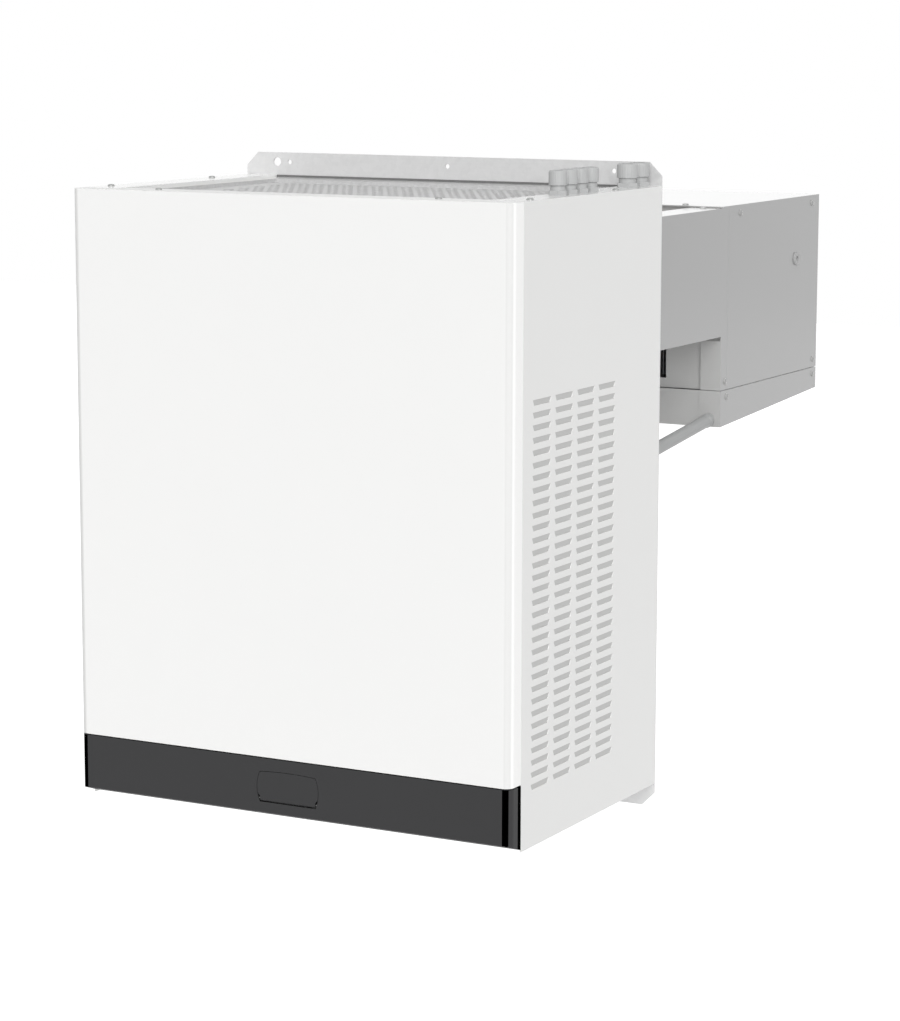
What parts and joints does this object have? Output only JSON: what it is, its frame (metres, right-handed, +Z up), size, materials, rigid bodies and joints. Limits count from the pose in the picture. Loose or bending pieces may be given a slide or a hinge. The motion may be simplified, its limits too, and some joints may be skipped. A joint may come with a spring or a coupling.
{
  "type": "monoblock refrigeration unit",
  "caption": "Wall-hung monoblock refrigeration unit: a louvred condensing casing outside, an insulated neck through the wall and an evaporator with fans and drip tray in the cold room.",
  "frame": {"origin": "middle of the four wall anchor holes, on the wall plate's back", "axes": "+X to the right seen from the front, +Y into the wall and the cold room, +Z up"},
  "size_m": [0.584, 0.932, 0.792],
  "materials": {
    "white_sheet": "white powder coat, satin",
    "room_sheet": "off-white powder coat, satin",
    "galvanised_sheet": "galvanised steel",
    "dark_moulding": "dark grey moulded plastic, fine grain",
    "black_plastic": "black moulded plastic",
    "gland_plastic": "light grey nylon",
    "key_plastic": "grey moulded keys",
    "window": "smoked red window",
    "copper": "drawn copper tube",
    "fin_stock": "aluminium fin stock",
    "black_enamel": "black enamel",
    "rubber": "black rubber",
    "pipe_foam": "closed cell pipe insulation",
    "wall_foam": "rigid insulation foam",
    "circuit_board": "printed circuit board",
    "ivory_plastic": "moulded terminal block",
    "grey_plastic": "grey moulded plastic",
    "zinc_steel": "zinc plated steel",
    "heater_steel": "stainless steel sheath"
  },
  "bodies": {
    "casing": {"wall_plate": "room_sheet", "base_pan": "galvanised_sheet", "left_side_panel": "white_sheet", "right_side_panel": "white_sheet", "front_panel": "white_sheet", "top_grille": "galvanised_sheet", "kick_strip": "dark_moulding", "flap_pin": "zinc_steel", "controller_case": "black_plastic", "controller_bracket": "galvanised_sheet", "display_window": "window", "small_glands": "gland_plastic", "large_glands": "gland_plastic", "electrical_box": "galvanised_sheet", "electrical_lid": "galvanised_sheet", "control_board": "circuit_board", "contactor": "grey_plastic", "terminal_block": "ivory_plastic", "compressor_shell": "black_enamel", "compressor_feet": "black_enamel", "compressor_grommets": "rubber", "compressor_bolts": "zinc_steel", "compressor_cover": "black_plastic", "fan_deck": "galvanised_sheet", "condenser_coil": "fin_stock", "condenser_bends": "copper", "condenser_motor": "black_enamel", "condenser_bracket": "galvanised_sheet", "discharge_line": "copper", "liquid_line": "copper", "filter_drier": "copper", "suction_line": "pipe_foam", "condensate_pan": "grey_plastic", "drain_pipe": "gland_plastic", "neck_shell": "room_sheet", "neck_foam": "wall_foam", "evap_front_frame": "room_sheet", "evap_left_panel": "room_sheet", "evap_right_panel": "room_sheet", "evap_top_cover": "room_sheet", "evap_fan_plate": "room_sheet", "evap_fan_rings": "room_sheet", "evap_coil": "fin_stock", "evap_bends": "copper", "evap_motors": "black_enamel", "evap_brackets": "galvanised_sheet", "fan_guards": "black_enamel", "drip_tray": "room_sheet", "tray_heater": "heater_steel", "probe_grommet": "rubber", "casing_screws": "zinc_steel", "evap_screws": "zinc_steel"},
    "condenser_fan": {"condenser_fan": "black_plastic"},
    "room_fan_left": {"evap_fan_left": "black_plastic"},
    "room_fan_right": {"evap_fan_right": "black_plastic"},
    "flap": {"controller_flap": "dark_moulding"},
    "up_key": {"key_up": "key_plastic"},
    "down_key": {"key_down": "key_plastic"},
    "set_key": {"key_set": "key_plastic"},
    "defrost_key": {"key_defrost": "key_plastic"}
  },
  "joints": [
    {"name": "condenser_fan_spin", "type": "hinge", "parent": "casing", "child": "condenser_fan", "pos_m": [-0.047, -0.1833, 0.1715], "axis": [0, 0, 1], "continuous": true},
    {"name": "room_fan_left_spin", "type": "hinge", "parent": "casing", "child": "room_fan_left", "pos_m": [-0.132, 0.508, 0.2145], "axis": [0, 1, 0], "continuous": true},
    {"name": "room_fan_right_spin", "type": "hinge", "parent": "casing", "child": "room_fan_right", "pos_m": [0.132, 0.508, 0.2145], "axis": [0, 1, 0], "continuous": true},
    {"name": "flap_hinge", "type": "hinge", "parent": "casing", "child": "flap", "pos_m": [0, -0.389, -0.339], "axis": [1, 0, 0], "range_deg": [0, 95]},
    {"name": "up_key_press", "type": "slide", "parent": "casing", "child": "up_key", "axis": [0, 1, 0], "range_m": [0, 0.0008], "stiffness_N_per_m": 400, "springref_m": -0.0005},
    {"name": "down_key_press", "type": "slide", "parent": "casing", "child": "down_key", "axis": [0, 1, 0], "range_m": [0, 0.0008], "stiffness_N_per_m": 400, "springref_m": -0.0005},
    {"name": "set_key_press", "type": "slide", "parent": "casing", "child": "set_key", "axis": [0, 1, 0], "range_m": [0, 0.0008], "stiffness_N_per_m": 400, "springref_m": -0.0005},
    {"name": "defrost_key_press", "type": "slide", "parent": "casing", "child": "defrost_key", "axis": [0, 1, 0], "range_m": [0, 0.0008], "stiffness_N_per_m": 400, "springref_m": -0.0005}
  ]
}
